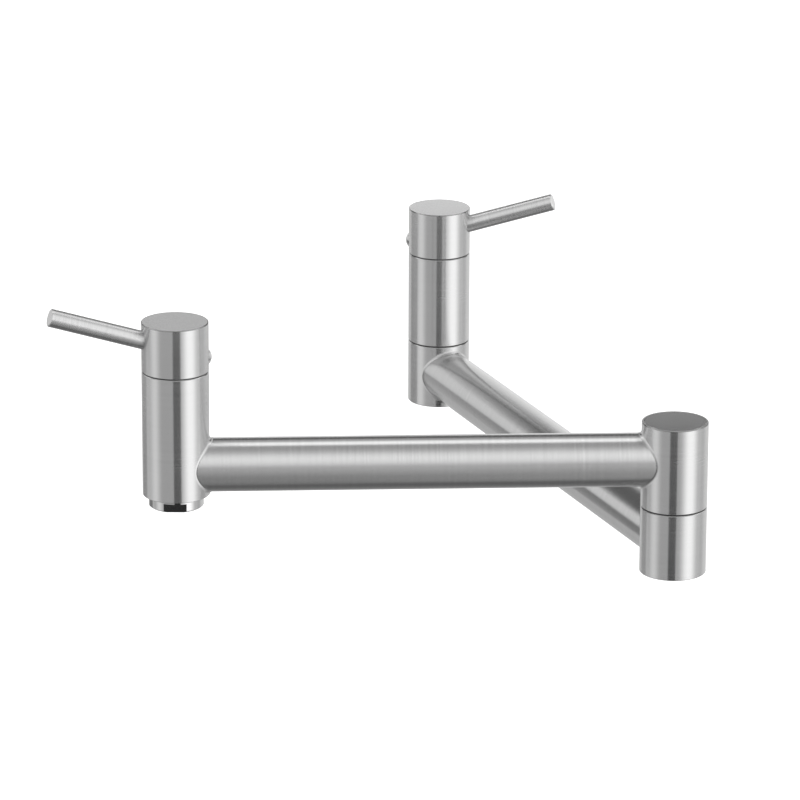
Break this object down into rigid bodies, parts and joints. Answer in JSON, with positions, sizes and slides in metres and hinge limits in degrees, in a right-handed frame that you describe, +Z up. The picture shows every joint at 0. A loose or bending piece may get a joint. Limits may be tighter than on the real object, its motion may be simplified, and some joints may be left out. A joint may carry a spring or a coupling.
{
  "type": "wall mounted pot filler",
  "caption": "Wall mounted pot filler with a two-part folding arm, a quarter-turn lever valve at the wall and one above the outlet.",
  "frame": {"origin": "centre of the inlet thread's mouth, on the wall plane", "axes": "+Y into the wall along the inlet's axis, +Z up along the column axes, +X to the right as seen from the room"},
  "size_m": [0.3422, 0.3785, 0.1503],
  "materials": {
    "brushed_steel": "fine brushed stainless steel",
    "polished_steel": "polished",
    "brass": "machined",
    "rubber": "matte",
    "ceramic": "lapped ceramic",
    "bearing_plastic": "smooth dark bearing plastic",
    "white_plastic": "moulded",
    "black_steel": "black oxide"
  },
  "bodies": {
    "wall_mount": {"wall_body": "brushed_steel", "wall_shank": "brushed_steel", "wall_escutcheon": "brushed_steel", "escutcheon_o_ring": "rubber", "inlet_socket": "brass", "inlet_strainer": "brushed_steel", "wall_spindle": "brushed_steel", "wall_spindle_o_rings": "rubber", "wall_spindle_nut": "brass", "wall_swivel_washer": "bearing_plastic", "wall_cartridge_sleeve": "brass", "wall_cartridge_nut": "brass", "wall_fixed_disc": "ceramic", "wall_seat_seal": "rubber", "wall_glide_ring": "bearing_plastic"},
    "wall_handle_set": {"wall_handle": "brushed_steel", "wall_lever": "brushed_steel", "wall_handle_plug": "polished_steel", "wall_set_screw": "black_steel", "wall_stem": "brass", "wall_moving_disc": "ceramic", "wall_stem_o_ring": "rubber"},
    "lower_arm": {"wall_swivel_hub": "brushed_steel", "wall_hub_cap": "brushed_steel", "lower_arm_tube": "brushed_steel", "lower_elbow_hub": "brushed_steel", "elbow_hub_cap": "brushed_steel"},
    "upper_arm": {"upper_elbow_hub": "brushed_steel", "elbow_top_cap": "brushed_steel", "elbow_spindle": "brushed_steel", "elbow_spindle_o_rings": "rubber", "elbow_spindle_nut": "brass", "elbow_swivel_washer": "bearing_plastic", "upper_arm_tube": "brushed_steel", "outlet_body": "brushed_steel", "outlet_seat_tube": "brass", "outlet_cartridge_sleeve": "brass", "outlet_cartridge_nut": "brass", "outlet_fixed_disc": "ceramic", "outlet_seat_seal": "rubber", "outlet_glide_ring": "bearing_plastic", "aerator_housing": "polished_steel", "aerator_insert": "white_plastic", "aerator_washer": "rubber"},
    "outlet_handle_set": {"outlet_handle": "brushed_steel", "outlet_lever": "brushed_steel", "outlet_handle_plug": "polished_steel", "outlet_set_screw": "black_steel", "outlet_stem": "brass", "outlet_moving_disc": "ceramic", "outlet_stem_o_ring": "rubber"}
  },
  "joints": [
    {"name": "wall_swivel", "type": "hinge", "parent": "wall_mount", "child": "lower_arm", "pos_m": [0, -0.048, 0], "axis": [0, 0, 1], "range_deg": [-112.7, 67.3]},
    {"name": "elbow_swivel", "type": "hinge", "parent": "lower_arm", "child": "upper_arm", "pos_m": [0.12349, -0.34321, 0], "axis": [0, 0, 1], "range_deg": [-55.5, 274.5]},
    {"name": "wall_valve_turn", "type": "hinge", "parent": "wall_mount", "child": "wall_handle_set", "pos_m": [0, -0.048, 0], "axis": [0, 0, 1], "range_deg": [-90, 0]},
    {"name": "outlet_valve_turn", "type": "hinge", "parent": "upper_arm", "child": "outlet_handle_set", "pos_m": [-0.13611, -0.35773, 0], "axis": [0, 0, 1], "range_deg": [0, 90]}
  ]
}
